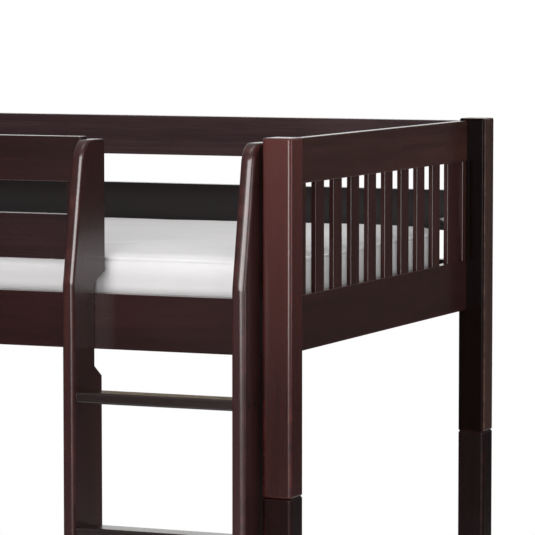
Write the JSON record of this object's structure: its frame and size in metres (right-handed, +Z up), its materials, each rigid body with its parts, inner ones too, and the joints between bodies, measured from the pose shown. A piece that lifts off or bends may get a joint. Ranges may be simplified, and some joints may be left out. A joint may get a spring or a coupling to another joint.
{
  "type": "bunk bed with ladder",
  "caption": "Dark espresso wooden twin bunk bed with slatted end panels, guard rails, mattresses and a vertical front ladder with rounded stile tops.",
  "frame": {"origin": "on the floor, under the centre of the bounding box of the whole bed with its ladder", "axes": "+X along the bed towards the ladder end, +Y from the ladder side to the back, +Z up"},
  "size_m": [2.042, 1.136, 1.651],
  "materials": {
    "espresso_wood": "glossy dark espresso lacquer over a fine straight grain",
    "bare_pine": "plain planed softwood, unfinished",
    "ticking": "white woven cotton ticking, lightly quilted",
    "zinc_steel": "zinc-plated fasteners",
    "brass": "turned threaded sleeves",
    "glide_plastic": "moulded dark glides"
  },
  "bodies": {
    "lower_bed": {"lower_post_front_left": "espresso_wood", "lower_post_front_right": "espresso_wood", "lower_post_rear_left": "espresso_wood", "lower_post_rear_right": "espresso_wood", "lower_left_panel_top_rail": "espresso_wood", "lower_left_panel_bottom_rail": "espresso_wood", "lower_left_panel_slats": "espresso_wood", "lower_right_panel_top_rail": "espresso_wood", "lower_right_panel_bottom_rail": "espresso_wood", "lower_right_panel_slats": "espresso_wood", "lower_side_rail_front": "espresso_wood", "lower_side_rail_rear": "espresso_wood", "lower_cleat_front": "bare_pine", "lower_cleat_rear": "bare_pine", "lower_bed_slats": "bare_pine", "lower_rail_studs": "zinc_steel", "lower_rail_washers": "zinc_steel", "lower_rail_nuts": "zinc_steel", "lower_cleat_screws": "zinc_steel", "post_pins": "zinc_steel", "floor_glides": "glide_plastic"},
    "upper_bed": {"upper_post_front_left": "espresso_wood", "upper_post_front_right": "espresso_wood", "upper_post_rear_left": "espresso_wood", "upper_post_rear_right": "espresso_wood", "upper_left_panel_top_rail": "espresso_wood", "upper_left_panel_bottom_rail": "espresso_wood", "upper_left_panel_slats": "espresso_wood", "upper_right_panel_top_rail": "espresso_wood", "upper_right_panel_bottom_rail": "espresso_wood", "upper_right_panel_slats": "espresso_wood", "upper_side_rail_front": "espresso_wood", "upper_side_rail_rear": "espresso_wood", "upper_cleat_front": "bare_pine", "upper_cleat_rear": "bare_pine", "upper_bed_slats": "bare_pine", "upper_rail_studs": "zinc_steel", "upper_rail_washers": "zinc_steel", "upper_rail_nuts": "zinc_steel", "upper_cleat_screws": "zinc_steel", "guard_rail_front_top": "espresso_wood", "guard_rail_front_bottom": "espresso_wood", "guard_rail_rear_top": "espresso_wood", "guard_rail_rear_bottom": "espresso_wood", "guard_upright": "espresso_wood", "guard_screws": "zinc_steel", "ladder_bolts": "zinc_steel"},
    "ladder": {"ladder_stile_left": "espresso_wood", "ladder_stile_right": "espresso_wood", "ladder_rung_1": "espresso_wood", "ladder_rung_2": "espresso_wood", "ladder_rung_3": "espresso_wood", "ladder_rung_4": "espresso_wood", "ladder_rung_5": "espresso_wood", "ladder_rung_screws": "zinc_steel", "ladder_inserts": "brass", "ladder_glides": "glide_plastic"},
    "upper_mattress_body": {"upper_mattress": "ticking"},
    "lower_mattress_body": {"lower_mattress": "ticking"}
  },
  "joints": [
    {"name": "upper_bed_lift", "type": "slide", "parent": "lower_bed", "child": "upper_bed", "axis": [0, 0, 1], "range_m": [0, 0.12]},
    {"name": "ladder_off", "type": "slide", "parent": "upper_bed", "child": "ladder", "axis": [0, -1, 0], "range_m": [0, 0.16]},
    {"name": "upper_mattress_lift", "type": "slide", "parent": "upper_bed", "child": "upper_mattress_body", "axis": [0, 0, 1], "range_m": [0, 0.12]},
    {"name": "lower_mattress_lift", "type": "slide", "parent": "lower_bed", "child": "lower_mattress_body", "axis": [0, 0, 1], "range_m": [0, 0.12]}
  ]
}
